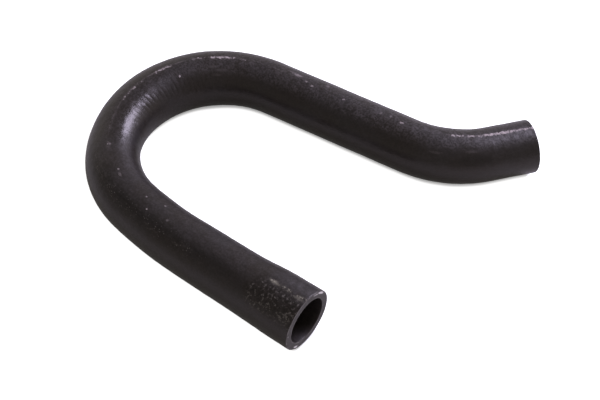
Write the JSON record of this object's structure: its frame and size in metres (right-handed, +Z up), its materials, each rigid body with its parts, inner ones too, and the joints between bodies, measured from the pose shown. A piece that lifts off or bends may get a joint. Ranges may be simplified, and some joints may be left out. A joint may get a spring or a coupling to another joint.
{
  "type": "air injection hose",
  "caption": "Moulded black rubber air hose, preformed into a return bend with a kicked end, open at both mouths, one mouth slightly flared.",
  "frame": {"origin": "the middle of the hose's footprint, on the surface that it lies on", "axes": "+Z up, square to the plane of the bends; +X out of the near mouth, along the near leg, away from the return bend; +Y towards the far leg"},
  "size_m": [0.1996, 0.1798, 0.0309],
  "materials": {
    "black_rubber": "cured black rubber with a soft satin sheen, fine ribs round the bend, a scuffed mould line and light dust"
  },
  "bodies": {
    "root": {"moulded_hose": "black_rubber"}
  },
  "joints": []
}
